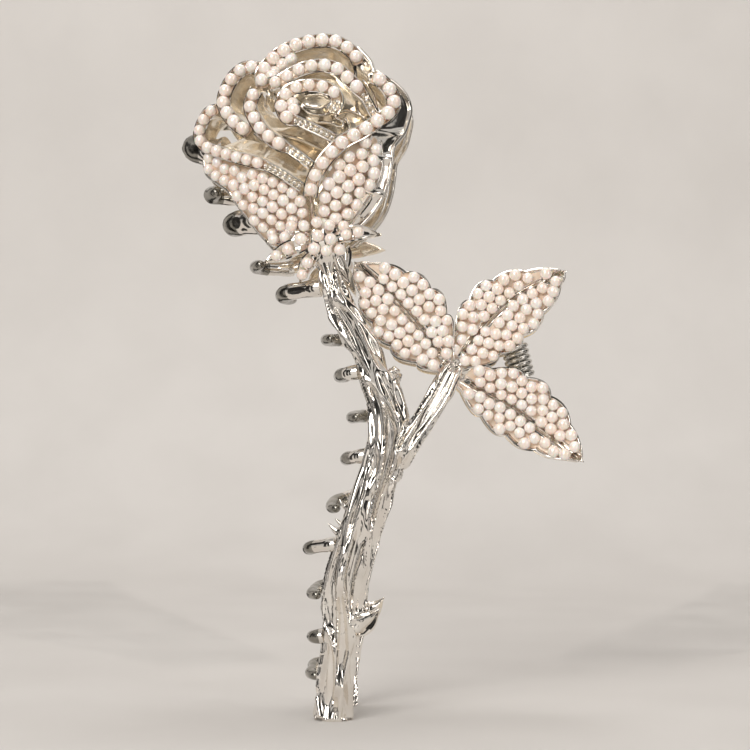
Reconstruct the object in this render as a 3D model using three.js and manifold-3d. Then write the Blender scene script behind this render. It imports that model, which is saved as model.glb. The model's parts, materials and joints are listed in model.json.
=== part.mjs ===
// Rose hair claw: two cast jaws shaped like a long-stemmed rose, one in front of the other,
// turning on a hinge pin behind the two thumb leaves, closed by a torsion spring.
// Millimetres. +Z runs up the stem to the flower, +X points to the thumb leaves, the front
// jaw is on the -Y side. The origin is the middle of the gap that holds the hair.
import * as THREE from "three";
import { mergeVertices } from "three/addons/utils/BufferGeometryUtils.js";
import Module from "manifold-3d";

const wasm = await Module();
wasm.setup();

// ---- driving dimensions -------------------------------------------------------------------
const CLEARANCE = 0.3;

const HINGE = { x: 18, z: 4.1, tilt: THREE.MathUtils.degToRad(-14) };
const PIN = { radius: 0.8, halfLength: 7.6, headRadius: 1.5, headThickness: 0.7 };
const LUG = { radius: 2.4, neckHalfWidth: 1.7, backStart: 3.9, frontStart: 5.6, thickness: 1.4 };
const SPRING = { wireRadius: 0.45, coilRadius: 2.1, turns: 6, pitch: 1.05, legLength: 6.5 };
const SPRING_LEG_LIFT = 0.9;

// Stem centre line: x, z, height over the mid-plane, half width. The last row is the cut end.
const STEM_LINE = [
  [-16.2, 19.2, 12.2, 1.5],
  [-14.4, 13.0, 12.0, 2.3],
  [-10.9, 6.8, 11.5, 2.4],
  [-8.6, 1.8, 11.2, 2.6],
  [-6.0, -5.6, 11.0, 3.1],
  [-6.2, -13.0, 11.0, 3.3],
  [-8.7, -20.7, 10.8, 3.4],
  [-11.4, -29.0, 10.4, 3.5],
  [-13.8, -37.0, 10.0, 3.9],
  [-14.2, -45.0, 9.6, 3.3],
  [-15.3, -54.0, 9.2, 3.1],
  [-15.7, -61.0, 8.8, 3.4],
];
const STEM_STEPS = 26;
const STEM_OUTER = 0.75; // outer bulge over half width
const STEM_INNER = 0.5; // inner bulge over half width
const THORN_SIDES = 6;
const THORNS = [
  { base: [-11.0, -40.5, 10.0], tip: [-6.3, -39.6, 11.0], radius: 2.3 },
  { base: [-12.6, -27.0, 10.6], tip: [-16.8, -26.2, 10.8], radius: 1.5 },
  { base: [-6.6, -1.5, 11.0], tip: [-3.6, 2.4, 11.0], radius: 1.9 },
];

const FORK = { x: 5.6, z: 1.6, height: 7.6 };
const BRANCH_LINE = [
  [-0.9, -9.2, 10.8, 2.1],
  [2.2, -4.9, 9.6, 1.9],
  [FORK.x - 0.1, FORK.z - 0.2, FORK.height + 0.6, 1.7],
];

// Leaves start near the fork. `bow` bends the midrib to the left of the line from the fork to
// the tip, `left` and `right` are half widths, `heights` are at the base, the middle and tip.
const LEAF_START = 2.3;
const LEAF_THICKNESS = 1.4;
const LEAF_EDGE_LIFT = 0.7;
const LEAF_STEPS = 14;
const LEAF_SERRATION = 0.07;
const LEAVES = {
  left: { tip: [-12.0, 21.6], bow: -1.3, left: 6.2, right: 6.8, heights: [7.6, 9.0, 9.6] },
  upper: { tip: [26.6, 20.0], bow: 2.8, left: 6.0, right: 7.4, heights: [7.6, 5.0, 8.4] },
  lower: { tip: [29.6, -14.8], bow: 0.8, left: 7.2, right: 5.4, heights: [7.6, 4.8, 7.6] },
};
const LEAF_PAD = { inset: 1.1, thickness: 1.5, from: 0.1, to: 0.9 };

// The flower is a low dome over the mid-plane. Petal points are x, z from the dome's top.
const FLOWER = { x: -18.0, z: 38.7 };
const DOME = { height: 19, drop: 11, left: 23, right: 20, up: 28, down: 20 };
const RIM = { width: 2.4, depth: 3.0, steps: 18 };
const RIM_PETALS = {
  petal_top_back: {
    points: [[-9.9, 14.4], [-10.3, 17.8], [-7.0, 21.2], [-2.0, 23.0], [2.8, 22.9], [5.6, 20.6]],
    lean: -1.0,
  },
  petal_top_front: {
    points: [[-4.4, 17.0], [0.4, 18.2], [4.6, 16.6], [7.9, 13.0], [9.8, 10.0]],
    lean: -0.5,
  },
  petal_heart: {
    points: [[2.0, 9.2], [3.0, 11.2], [1.0, 13.3], [-3.8, 13.6], [-6.6, 11.2], [-5.4, 8.0],
      [-1.6, 6.2], [2.6, 4.2]],
    lean: 0,
  },
  petal_left_inner: {
    points: [[-12.2, 12.8], [-12.4, 9.6], [-10.3, 6.1], [-7.0, 3.2], [-1.8, 0.2]],
    lean: -1.0,
  },
  petal_left_middle: {
    points: [[-13.6, 18.4], [-17.4, 15.6], [-18.0, 11.4], [-15.8, 8.0]],
    lean: -1.0,
  },
  petal_left_outer: {
    points: [[-20.9, 10.9], [-22.8, 7.2], [-20.6, 3.8], [-14.0, 1.3], [-8.3, -0.7], [-3.4, -3.6]],
    lean: -1.0,
  },
  petal_right: {
    points: [[11.0, 15.2], [13.2, 11.6], [11.8, 8.0], [6.6, 4.8], [1.4, 0.4], [-0.9, -3.4],
      [-1.3, -6.0]],
    lean: 1.0,
  },
  petal_right_outer: {
    points: [[8.6, 20.6], [11.6, 18.0], [15.8, 13.4], [15.8, 7.8], [13.8, 2.4], [12.0, -4.0],
      [8.8, -9.6]],
    lean: -1.0,
    lift: -2.6,
    width: 1.5,
  },
};
const BASE_PETAL = { thickness: 1.5, lift: -3.4, steps: 10, baseWidth: 0.4 };
const BASE_PETALS = {
  petal_base_left: { base: [-2.8, -12.0], tip: [-21.2, 1.0], bow: -1.2, left: 4.6, right: 4.0 },
  petal_base_right: { base: [1.0, -12.0], tip: [10.6, 5.0], bow: 0.4, left: 4.8, right: 3.4 },
};
const BASE_PETAL_EDGE_DROP = -1.6;
const BASE_PAD = { inset: 2.1, thickness: 1.5, from: 0.16, to: 0.72 };

const CALYX_LINE = [
  [-17.6, 25.0, 12.6, 4.0],
  [-17.0, 23.2, 13.0, 3.8],
  [-16.4, 20.2, 12.6, 1.9],
];
const SEPALS = [
  { base: [-15.5, 24.4, 13.2], tip: [-7.2, 25.6, 12.0], radius: 1.5 },
  { base: [-19.0, 23.8, 13.0], tip: [-28.4, 21.8, 10.6], radius: 1.7 },
  { base: [-18.0, 22.6, 13.0], tip: [-22.8, 16.4, 12.0], radius: 1.6 },
];

// Claw teeth: where the tooth leaves its jaw (x, z), its outermost point (x, z) and the height
// of its root over the mid-plane. The back jaw's teeth stand between the front jaw's.
const TOOTH = { rootRadius: 1.4, tipRadius: 0.75, sides: 8, steps: 8, reach: 2.6 };
const FRONT_TEETH = [
  { root: [-37.2, 42.4], bulge: [-42.8, 43.4], height: 3.9 },
  { root: [-31.4, 29.4], bulge: [-34.6, 29.4], height: 5.4 },
  { root: [-19.6, 16.6], bulge: [-25.6, 15.6], height: 10.6 },
  { root: [-12.8, 1.3], bulge: [-15.0, 0.9], height: 10.0 },
  { root: [-11.4, -13.8], bulge: [-13.8, -14.4], height: 9.6 },
  { root: [-16.8, -29.8], bulge: [-20.6, -31.0], height: 9.2 },
  { root: [-19.0, -46.4], bulge: [-20.0, -47.0], height: 8.0 },
];
const BACK_TEETH = [
  { root: [-33.6, 35.4], bulge: [-38.8, 35.4], height: 4.4 },
  { root: [-26.2, 21.9], bulge: [-29.8, 21.6], height: 8.0 },
  { root: [-15.6, 8.4], bulge: [-17.8, 8.0], height: 10.0 },
  { root: [-11.0, -6.2], bulge: [-13.0, -6.6], height: 9.8 },
  { root: [-13.6, -21.6], bulge: [-16.8, -23.4], height: 9.4 },
  { root: [-19.4, -38.8], bulge: [-20.4, -39.4], height: 8.4 },
  { root: [-20.2, -53.4], bulge: [-20.6, -54.2], height: 7.6 },
];

// ---- materials ----------------------------------------------------------------------------
const castMetal = new THREE.MeshStandardMaterial({ color: 0xe3d6c2, roughness: 0.2, metalness: 1 });
const steel = new THREE.MeshStandardMaterial({ color: 0xc9c6c0, roughness: 0.3, metalness: 1 });
const pearl = new THREE.MeshStandardMaterial({ color: 0xf3e7de, roughness: 0.35, metalness: 0 });

// ---- geometry helpers ---------------------------------------------------------------------
/** A closed mesh from points and triangles, with its faces turned outwards. */
function closedGeometry(points, triangles) {
  const volume = triangles.reduce((sum, [a, b, c]) => {
    const normal = new THREE.Vector3().crossVectors(points[b], points[c]);
    return sum + points[a].dot(normal);
  }, 0);
  const outward = volume < 0 ? triangles.map(([a, b, c]) => [a, c, b]) : triangles;
  const geometry = new THREE.BufferGeometry().setFromPoints(points);
  geometry.setIndex(outward.flat());
  geometry.computeVertexNormals();
  return geometry;
}

/** Skins a row of rings that all have the same number of points, and caps both ends. */
function loft(rings) {
  const size = rings[0].length;
  const points = rings.flat();
  const triangles = [];
  for (let i = 0; i + 1 < rings.length; i += 1) {
    for (let j = 0; j < size; j += 1) {
      const a = i * size + j;
      const b = i * size + ((j + 1) % size);
      triangles.push([a, b, b + size], [a, b + size, a + size]);
    }
  }
  const last = (rings.length - 1) * size;
  for (let j = 1; j + 1 < size; j += 1) {
    triangles.push([0, j + 1, j], [last, last + j, last + j + 1]);
  }
  return closedGeometry(points, triangles);
}

/** Rings of `section(t)`, pairs of [across, out], along a curve; `out` leans to `reference`. */
function ringsAlong(curve, steps, reference, section) {
  const rings = [];
  for (let i = 0; i <= steps; i += 1) {
    const t = i / steps;
    const centre = curve.getPoint(t);
    const tangent = curve.getTangent(t);
    const across = new THREE.Vector3().crossVectors(tangent, reference).normalize();
    const out = new THREE.Vector3().crossVectors(across, tangent);
    rings.push(section(t).map(([u, v]) => centre.clone()
      .addScaledVector(across, u)
      .addScaledVector(out, v)));
  }
  return rings;
}

/** An oval section, fuller on the outside than on the inside. */
function ovalSection(halfWidth, outer, inner, sides) {
  return Array.from({ length: sides }, (_, k) => {
    const angle = (k / sides) * 2 * Math.PI;
    const bulge = Math.sin(angle) > 0 ? outer : inner;
    return [halfWidth * Math.cos(angle), halfWidth * bulge * Math.sin(angle)];
  });
}

/** Reads column `index` of a line's rows at curve parameter t. */
function columnAt(line, index, t) {
  const place = t * (line.length - 1);
  const low = Math.min(Math.floor(place), line.length - 2);
  return THREE.MathUtils.lerp(line[low][index], line[low + 1][index], place - low);
}

/** Joins closed geometries into one. */
function join(geometries) {
  const solids = geometries.map((geometry) => {
    const bare = geometry.clone();
    bare.deleteAttribute("normal");
    bare.deleteAttribute("uv");
    const merged = mergeVertices(bare, 1e-4);
    return new wasm.Manifold(new wasm.Mesh({
      numProp: 3,
      vertProperties: merged.attributes.position.array,
      triVerts: new Uint32Array(merged.index.array),
    }));
  });
  const mesh = solids.reduce((sum, solid) => sum.add(solid)).getMesh();
  const joined = new THREE.BufferGeometry();
  joined.setAttribute("position", new THREE.BufferAttribute(mesh.vertProperties, 3));
  joined.setIndex(new THREE.BufferAttribute(mesh.triVerts, 1));
  joined.computeVertexNormals();
  return joined;
}

// ---- one jaw; side is -1 for the front jaw and +1 for the back jaw ---------------------------
const point = (side, x, z, height) => new THREE.Vector3(x, side * height, z);

function lineCurve(side, line) {
  return new THREE.CatmullRomCurve3(line.map(([x, z, height]) => point(side, x, z, height)));
}

/** A tapering spike, used for thorns and sepals. */
function spike(side, { base, tip, radius }) {
  const curve = new THREE.LineCurve3(point(side, ...base), point(side, ...tip));
  const section = (t) => ovalSection(radius * (1 - 0.85 * t * t), 0.7, 0.7, THORN_SIDES);
  return loft(ringsAlong(curve, 3, new THREE.Vector3(0, side, 0), section));
}

function stemGeometry(side) {
  const section = (t) => ovalSection(columnAt(STEM_LINE, 3, t), STEM_OUTER, STEM_INNER, 10);
  const out = new THREE.Vector3(0, side, 0);
  const body = loft(ringsAlong(lineCurve(side, STEM_LINE), STEM_STEPS, out, section));
  return join([body, ...THORNS.map((thorn) => spike(side, thorn))]);
}

function branchGeometry(side) {
  const section = (t) => ovalSection(columnAt(BRANCH_LINE, 3, t), 0.8, 0.7, 8);
  const out = new THREE.Vector3(0, side, 0);
  return loft(ringsAlong(lineCurve(side, BRANCH_LINE), 6, out, section));
}

function calyxGeometry(side) {
  const section = (t) => ovalSection(columnAt(CALYX_LINE, 3, t), 0.55, 0.4, 8);
  const out = new THREE.Vector3(0, side, 0);
  const cup = loft(ringsAlong(lineCurve(side, CALYX_LINE), 4, out, section));
  return join([cup, ...SEPALS.map((sepal) => spike(side, sepal))]);
}

/**
 * A curved plate along a bowed midrib: a leaf, a base petal, or the pearl bed on one of them.
 * heightAt(x, z, s) is the height of its top face, edgeLift raises both edges over the midrib.
 */
function blade(side, spec) {
  const { base, tip, bow, left, right, heightAt, edgeLift, thickness, steps } = spec;
  const along = new THREE.Vector2(tip[0] - base[0], tip[1] - base[1]);
  const toLeft = new THREE.Vector2(-along.y, along.x).normalize();
  const rings = [];
  for (let i = 0; i <= steps; i += 1) {
    const s = THREE.MathUtils.lerp(spec.from ?? 0, spec.to ?? 1, i / steps);
    const swell = Math.sin(Math.PI * Math.min(s, 0.985) ** 0.95) ** 0.8;
    const saw = 1 + (spec.serration ?? 0) * (i % 2 === 0 ? -1 : 1);
    const share = Math.max(swell, (spec.baseWidth ?? 0.12) * (1 - s)) * saw;
    const midrib = new THREE.Vector2(...base)
      .addScaledVector(along, s)
      .addScaledVector(toLeft, bow * Math.sin(Math.PI * s));
    const widths = [left, right].map((width) => Math.max(width * share - (spec.inset ?? 0), 0.3));
    const places = [widths[0], 0, -widths[1]].map((offset) => {
      const at = midrib.clone().addScaledVector(toLeft, offset);
      return { at, top: heightAt(at.x, at.y, s) + edgeLift * Math.abs(offset) / left };
    });
    rings.push([
      ...places.map(({ at, top }) => point(side, at.x, at.y, top)),
      ...places.reverse().map(({ at, top }) => point(side, at.x, at.y, top - thickness)),
    ]);
  }
  return loft(rings);
}

function leafSpec({ tip, bow, left, right, heights }) {
  const reach = Math.hypot(tip[0] - FORK.x, tip[1] - FORK.z);
  const start = LEAF_START / reach;
  const curve = new THREE.QuadraticBezierCurve(
    new THREE.Vector2(0, heights[0]),
    new THREE.Vector2(0.5, 2 * heights[1] - (heights[0] + heights[2]) / 2),
    new THREE.Vector2(1, heights[2]),
  );
  return {
    base: [THREE.MathUtils.lerp(FORK.x, tip[0], start), THREE.MathUtils.lerp(FORK.z, tip[1], start)],
    tip,
    bow,
    left,
    right,
    heightAt: (x, z, s) => curve.getPoint(s).y,
    edgeLift: LEAF_EDGE_LIFT,
    thickness: LEAF_THICKNESS,
    steps: LEAF_STEPS,
  };
}

/** The pearl bed on a blade: raised onto its top face and drawn in from its edges. */
function padSpec(spec, pad) {
  const lift = CLEARANCE + pad.thickness;
  return { ...spec, ...pad, heightAt: (x, z, s) => spec.heightAt(x, z, s) + lift };
}

// Height of the flower's dome at a petal point.
function dome(x, z) {
  const across = x / (x < 0 ? DOME.left : DOME.right);
  const along = z / (z < 0 ? DOME.down : DOME.up);
  return DOME.height - DOME.drop * (across * across + along * along);
}

const petalPoint = (side, x, z, height) => point(side, FLOWER.x + x, FLOWER.z + z, height);

/** A petal rim: a band that follows the dome, whose wall leans as it goes back. */
function rimGeometry(side, { points, lean, lift = 0, width = RIM.width }) {
  const curve = new THREE.SplineCurve(points.map(([x, z]) => new THREE.Vector2(x, z)));
  const rings = [];
  for (let i = 0; i <= RIM.steps; i += 1) {
    const centre = curve.getPoint(i / RIM.steps);
    const tangent = curve.getTangent(i / RIM.steps);
    const across = new THREE.Vector2(-tangent.y, tangent.x);
    const edge = (offset, shift, depth) => {
      const at = centre.clone().addScaledVector(across, offset);
      const top = dome(at.x, at.y) + lift;
      at.addScaledVector(across, shift);
      return petalPoint(side, at.x, at.y, top - depth);
    };
    rings.push([
      edge(width / 2, 0, 0),
      edge(-width / 2, 0, 0),
      edge(-width / 2, lean, RIM.depth),
      edge(width / 2, lean, RIM.depth),
    ]);
  }
  return loft(rings);
}

function basePetalSpec({ base, tip, bow, left, right }) {
  return {
    base: [FLOWER.x + base[0], FLOWER.z + base[1]],
    tip: [FLOWER.x + tip[0], FLOWER.z + tip[1]],
    bow,
    left,
    right,
    heightAt: (x, z) => dome(x - FLOWER.x, z - FLOWER.z) + BASE_PETAL.lift,
    edgeLift: BASE_PETAL_EDGE_DROP,
    thickness: BASE_PETAL.thickness,
    steps: BASE_PETAL.steps,
    baseWidth: BASE_PETAL.baseWidth,
  };
}

/** A round claw tooth that swings out past the jaw's edge and curls over the mid-plane. */
function toothGeometry(side, { root, bulge, height }) {
  const { rootRadius, tipRadius, sides, steps, reach } = TOOTH;
  const curve = new THREE.CatmullRomCurve3([
    point(side, root[0], root[1], height),
    point(side, bulge[0] + 0.5, (root[1] + bulge[1]) / 2, height * 0.65),
    point(side, bulge[0] + 0.2, bulge[1], 1.4),
    point(side, bulge[0] + 1.4, bulge[1], -reach),
  ]);
  const section = (t) => {
    const radius = THREE.MathUtils.lerp(rootRadius, tipRadius, t ** 1.6);
    return ovalSection(radius, 1, 1, sides);
  };
  return loft(ringsAlong(curve, steps, new THREE.Vector3(0, 0, 1), section));
}

// ---- hinge: its own frame has z along the axis and x towards the thumb leaves ----------------
const hingeFrame = new THREE.Matrix4()
  .makeRotationY(HINGE.tilt)
  .setPosition(HINGE.x, 0, HINGE.z);

/** Points of an arc about the hinge axis, both ends included. */
function arcPoints(radius, startAngle, endAngle, count) {
  return Array.from({ length: count }, (_, k) => {
    const angle = THREE.MathUtils.lerp(startAngle, endAngle, k / (count - 1));
    return new THREE.Vector2(radius * Math.cos(angle), radius * Math.sin(angle));
  });
}

/** One lug: a plate across the hinge axis with the pin hole, rooted in a thumb leaf. */
function lugGeometry(side, start, rootHeight) {
  const { radius, neckHalfWidth, thickness } = LUG;
  const eye = arcPoints(radius, Math.PI, Math.PI - Math.PI * -side, 11);
  const outline = new THREE.Shape([
    new THREE.Vector2(-neckHalfWidth, side * rootHeight),
    ...eye,
    new THREE.Vector2(neckHalfWidth, side * rootHeight),
  ]);
  const hole = arcPoints(PIN.radius + CLEARANCE, 0, 2 * Math.PI, 17).slice(1);
  outline.holes.push(new THREE.Path(hole));
  const plate = new THREE.ExtrudeGeometry(outline, { depth: thickness, bevelEnabled: false });
  plate.translate(0, 0, start);
  return plate.applyMatrix4(hingeFrame);
}

function leafGeometry(side, name) {
  const leaf = blade(side, { ...leafSpec(LEAVES[name]), serration: LEAF_SERRATION });
  if (name === "left") {
    return leaf;
  }
  const start = side < 0 ? LUG.frontStart : LUG.backStart;
  const lugStart = name === "upper" ? start : -start - LUG.thickness;
  const middle = LEAVES[name].heights[1];
  return join([leaf, lugGeometry(side, lugStart, middle - 0.3)]);
}

function pinGeometry() {
  const { radius, halfLength, headRadius, headThickness } = PIN;
  const profile = [
    [0, -halfLength - headThickness], [headRadius * 0.7, -halfLength - headThickness],
    [headRadius, -halfLength - headThickness / 2], [headRadius, -halfLength],
    [radius, -halfLength], [radius, halfLength], [headRadius, halfLength],
    [headRadius, halfLength + headThickness / 2], [headRadius * 0.7, halfLength + headThickness],
    [0, halfLength + headThickness],
  ];
  const pin = new THREE.LatheGeometry(profile.map(([x, y]) => new THREE.Vector2(x, y)), 14);
  return pin.rotateX(Math.PI / 2);
}

/** The torsion spring: legs press the two thumb leaves apart, so the teeth stay closed. */
class SpringPath extends THREE.Curve {
  getPoint(t) {
    const { coilRadius, turns, pitch, legLength } = SPRING;
    const coilLength = 2 * Math.PI * coilRadius * turns;
    const total = coilLength + 2 * legLength;
    const along = t * total - legLength;
    const onCoil = THREE.MathUtils.clamp(along, 0, coilLength);
    const beyond = along - onCoil;
    const angle = -Math.PI / 2 + onCoil / coilRadius;
    const rise = (onCoil / coilLength - 0.5) * turns * pitch;
    const leg = Math.abs(beyond);
    const height = Math.sin(angle) * coilRadius;
    const sideOfLeg = along < 0 ? -1 : 1;
    const lift = sideOfLeg * SPRING_LEG_LIFT * (leg / legLength);
    return new THREE.Vector3(Math.cos(angle) * coilRadius + leg, height + lift, rise);
  }
}

function springGeometry() {
  const { wireRadius, turns } = SPRING;
  const section = () => ovalSection(wireRadius, 1, 1, 6);
  const steps = turns * 14 + 12;
  return loft(ringsAlong(new SpringPath(), steps, new THREE.Vector3(0, 0, 1), section));
}

// ---- assembly -----------------------------------------------------------------------------
const group = new THREE.Group();

function add(parent, name, geometry, material) {
  const mesh = new THREE.Mesh(geometry, material);
  mesh.name = name;
  parent.add(mesh);
}

function buildJaw(side, prefix, teeth) {
  const jaw = new THREE.Group();
  add(jaw, `${prefix}_stem`, stemGeometry(side), castMetal);
  add(jaw, `${prefix}_branch`, branchGeometry(side), castMetal);
  add(jaw, `${prefix}_calyx`, calyxGeometry(side), castMetal);
  for (const name of Object.keys(LEAVES)) {
    add(jaw, `${prefix}_leaf_${name}`, leafGeometry(side, name), castMetal);
    add(jaw, `${prefix}_pearls_leaf_${name}`, blade(side, padSpec(leafSpec(LEAVES[name]), LEAF_PAD)), pearl);
  }
  for (const [name, spec] of Object.entries(RIM_PETALS)) {
    add(jaw, `${prefix}_${name}`, rimGeometry(side, spec), castMetal);
  }
  for (const [name, petal] of Object.entries(BASE_PETALS)) {
    const spec = basePetalSpec(petal);
    add(jaw, `${prefix}_${name}`, blade(side, spec), castMetal);
    add(jaw, `${prefix}_pearls_${name}`, blade(side, padSpec(spec, BASE_PAD)), pearl);
  }
  teeth.forEach((tooth, i) => {
    add(jaw, `${prefix}_tooth_${i + 1}`, toothGeometry(side, tooth), castMetal);
  });
  group.add(jaw);
}

buildJaw(-1, "front", FRONT_TEETH);
buildJaw(1, "back", BACK_TEETH);

const hinge = new THREE.Group();
hinge.applyMatrix4(hingeFrame);
add(hinge, "hinge_pin", pinGeometry(), steel);
add(hinge, "torsion_spring", springGeometry(), steel);
group.add(hinge);

export default group;
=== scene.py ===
"""Rose hair claw: the two pearl-set cast jaws, the hinge pin and the spring, dressed over the CAD frame.

Lengths are millimetres and turn into metres in `add_piece`. A jaw point is [x, z, height]: x to the
thumb leaves, z up to the flower, height out from the middle of the claw. Both jaws are built from the
same parts; the front jaw's heights run towards -Y and the back jaw's towards +Y.
"""
import json
import math

import bpy
import numpy as np
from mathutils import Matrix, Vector, noise


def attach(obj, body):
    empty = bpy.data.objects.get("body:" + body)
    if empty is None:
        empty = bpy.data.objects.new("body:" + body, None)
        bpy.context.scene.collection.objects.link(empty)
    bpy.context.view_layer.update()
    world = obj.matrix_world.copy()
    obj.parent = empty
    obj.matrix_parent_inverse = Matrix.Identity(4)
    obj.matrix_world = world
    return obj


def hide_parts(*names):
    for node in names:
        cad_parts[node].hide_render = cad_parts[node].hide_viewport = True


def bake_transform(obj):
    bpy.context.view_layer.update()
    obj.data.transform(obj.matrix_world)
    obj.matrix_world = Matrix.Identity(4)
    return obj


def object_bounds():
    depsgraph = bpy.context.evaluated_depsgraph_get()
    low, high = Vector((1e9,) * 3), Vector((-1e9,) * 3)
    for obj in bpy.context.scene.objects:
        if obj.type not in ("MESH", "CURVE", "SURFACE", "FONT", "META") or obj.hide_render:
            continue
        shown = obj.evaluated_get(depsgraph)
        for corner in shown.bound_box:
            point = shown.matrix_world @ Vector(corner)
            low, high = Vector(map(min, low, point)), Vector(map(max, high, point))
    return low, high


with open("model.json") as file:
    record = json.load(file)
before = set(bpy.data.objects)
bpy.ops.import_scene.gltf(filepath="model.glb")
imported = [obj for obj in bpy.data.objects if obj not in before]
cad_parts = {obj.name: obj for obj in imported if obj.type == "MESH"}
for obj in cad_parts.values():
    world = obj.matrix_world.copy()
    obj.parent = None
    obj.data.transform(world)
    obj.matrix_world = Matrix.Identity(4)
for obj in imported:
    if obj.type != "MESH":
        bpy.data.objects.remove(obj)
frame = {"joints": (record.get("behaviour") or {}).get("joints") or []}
CAD_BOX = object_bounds()

MM = 0.001
JAWS = {"front": -1, "back": 1}
# The fourth tone is a painted dark reflection on the ends of the teeth.
# The second tone is the plating with a painted warm reflection, for faces inside and under the petals and
# leaves.
# The third tone is the ground under the pearls, tinted with a painted glow of light from the pearls.
SILVER, WARM_REFLECTION, BED, PAINTED_DARK_REFLECTION = 0, 1, 2, 3  # places in METALS
CREASE = math.radians(50)
OUT = np.array([0.0, 0.0, 1.0])

# ---- the jaw's lines, as the CAD has them ----
# x, z, height, half width
STEM_LINE = [
    [-16.6, 22.6, 12, 1.4], [-16.2, 19.2, 12.2, 1.7], [-14.4, 13, 12, 2.3], [-10.9, 6.8, 11.5, 2.5],
    [-8.6, 1.8, 11.2, 2.7], [-6, -5.6, 11, 3.2], [-6.2, -13, 11, 3.4], [-8.7, -20.7, 10.8, 3.5],
    [-11.4, -29, 10.4, 3.6], [-13.8, -37, 10, 3.9], [-14.2, -45, 9.6, 3.3],
    [-15.3, -54, 9.2, 3], [-15.6, -59, 8.9, 3.3], [-15.7, -61, 8.8, 3.5],
]
STEM_OUTER, STEM_INNER = 0.75, 0.5
FORK = np.array([5.6, 1.6, 7.6])
BRANCH_LINE = [
    [-4.4, -15, 10.6, 2], [-2.2, -11, 10.9, 2.2], [0.4, -7.4, 10.4, 2], [3, -3.4, 9.4, 1.8],
    [5.4, 1, 8.3, 1.7], [6.6, 2.6, 7.9, 1.1],
]
THORNS = [
    {"line": [[-11.6, -43.6, 10.2], [-9.2, -42.6, 10.8], [-7, -40.9, 11]], "radius": 2.3, "tip": 0.25},
    {"line": [[-12.6, -27.6, 10.6], [-14.9, -27.2, 10.8], [-16.6, -25.8, 10.8]], "radius": 1.7, "tip": 0.25},
    {"line": [[-7, -2.4, 10.8], [-5.2, 0.4, 11.2], [-4.2, 2.2, 11.4]], "radius": 1.7, "tip": 0.8},
    {"line": [[-12.2, -23.2, 10.6], [-13.8, -22.6, 10.8], [-14.6, -21.4, 10.8]], "radius": 1, "tip": 0.2},
]
# The hollowed thorn is a pointed leaf, made like a sepal.
CUP_THORN = {"line": [[-12.8, -45, 10], [-9.8, -43.6, 11.2], [-7.4, -41.6, 11.4]], "width": 2}
# The midrib bows to the left by `bow`; `left` and `right` are the half widths, and the heights are
# those at the fork, at the middle and at the tip.
LEAVES = {
    "left": {"tip": [-12, 21.6], "bow": -1.3, "left": 7.5, "right": 6.8, "heights": [7.6, 8.8, 9]},
    "upper": {"tip": [26.6, 20], "bow": 2.8, "left": 6, "right": 7.4, "heights": [7.6, 5, 8.4]},
    "lower": {"tip": [29.6, -14.8], "bow": 0.8, "left": 7.2, "right": 5.4, "heights": [7.6, 4.8, 7.6]},
}
LEAF_LOBES = 5
LEAF_THICKNESS = 1.1
LEAF_PEARL = 1.04
LEAF_SWELL = 0.7
LEAF_VEIN = {"depth": 0.5, "width": 0.3, "ridge": 0.22, "ridge_at": 0.75, "ridge_width": 0.35}
LEAF_RIM = {"height": 0.5, "inset": 0.62, "edge": 0.08}
# Radii of a tooth, how far it passes the middle of the claw, and how far in its painted dark reflection
# begins.
TOOTH = {"root": 1.5, "bend": 1.25, "tip": 0.75, "reach": 2.6, "dark": 1.9, "sides": 20}
# root x, z; bulge x, z; height; radius where it isn't the usual one
FRONT_TEETH = [
    [[-37.2, 42.4], [-41.9, 44], 3.9, 2.8],
    [[-31.4, 29.4], [-34.6, 29.2], 5.4, 2.5],
    [[-19.6, 16.6], [-25.2, 15.6], 10.6, 1.6],
    [[-12.8, 1.3], [-15, 0.9], 10],
    [[-11.4, -13.8], [-13.8, -14.4], 9.6],
    [[-16.8, -29.8], [-20.6, -31], 9.2],
    [[-19, -46.4], [-20, -47], 8],
]
BACK_TEETH = [
    [[-33.6, 35.4], [-39.2, 35.4], 4.4, 1.9],
    [[-26.2, 21.9], [-31, 21.8], 8, 1.4],
    [[-15.6, 8.4], [-17.8, 8], 10],
    [[-11, -6.2], [-13, -6.6], 9.8],
    [[-13.6, -21.6], [-16.8, -23.4], 9.4],
    [[-19.4, -38.8], [-20.4, -39.4], 8.4],
    [[-20.2, -53.4], [-20.6, -54.2], 7.6],
]
TEETH = {"front": FRONT_TEETH, "back": BACK_TEETH}

# ---- the flower: points are x, z from the top of its dome ----
FLOWER = np.array([-18, 38.7])
DOME = {"height": 17.7, "drop": 11, "left": 23, "right": 20, "up": 28, "down": 20}

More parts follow.
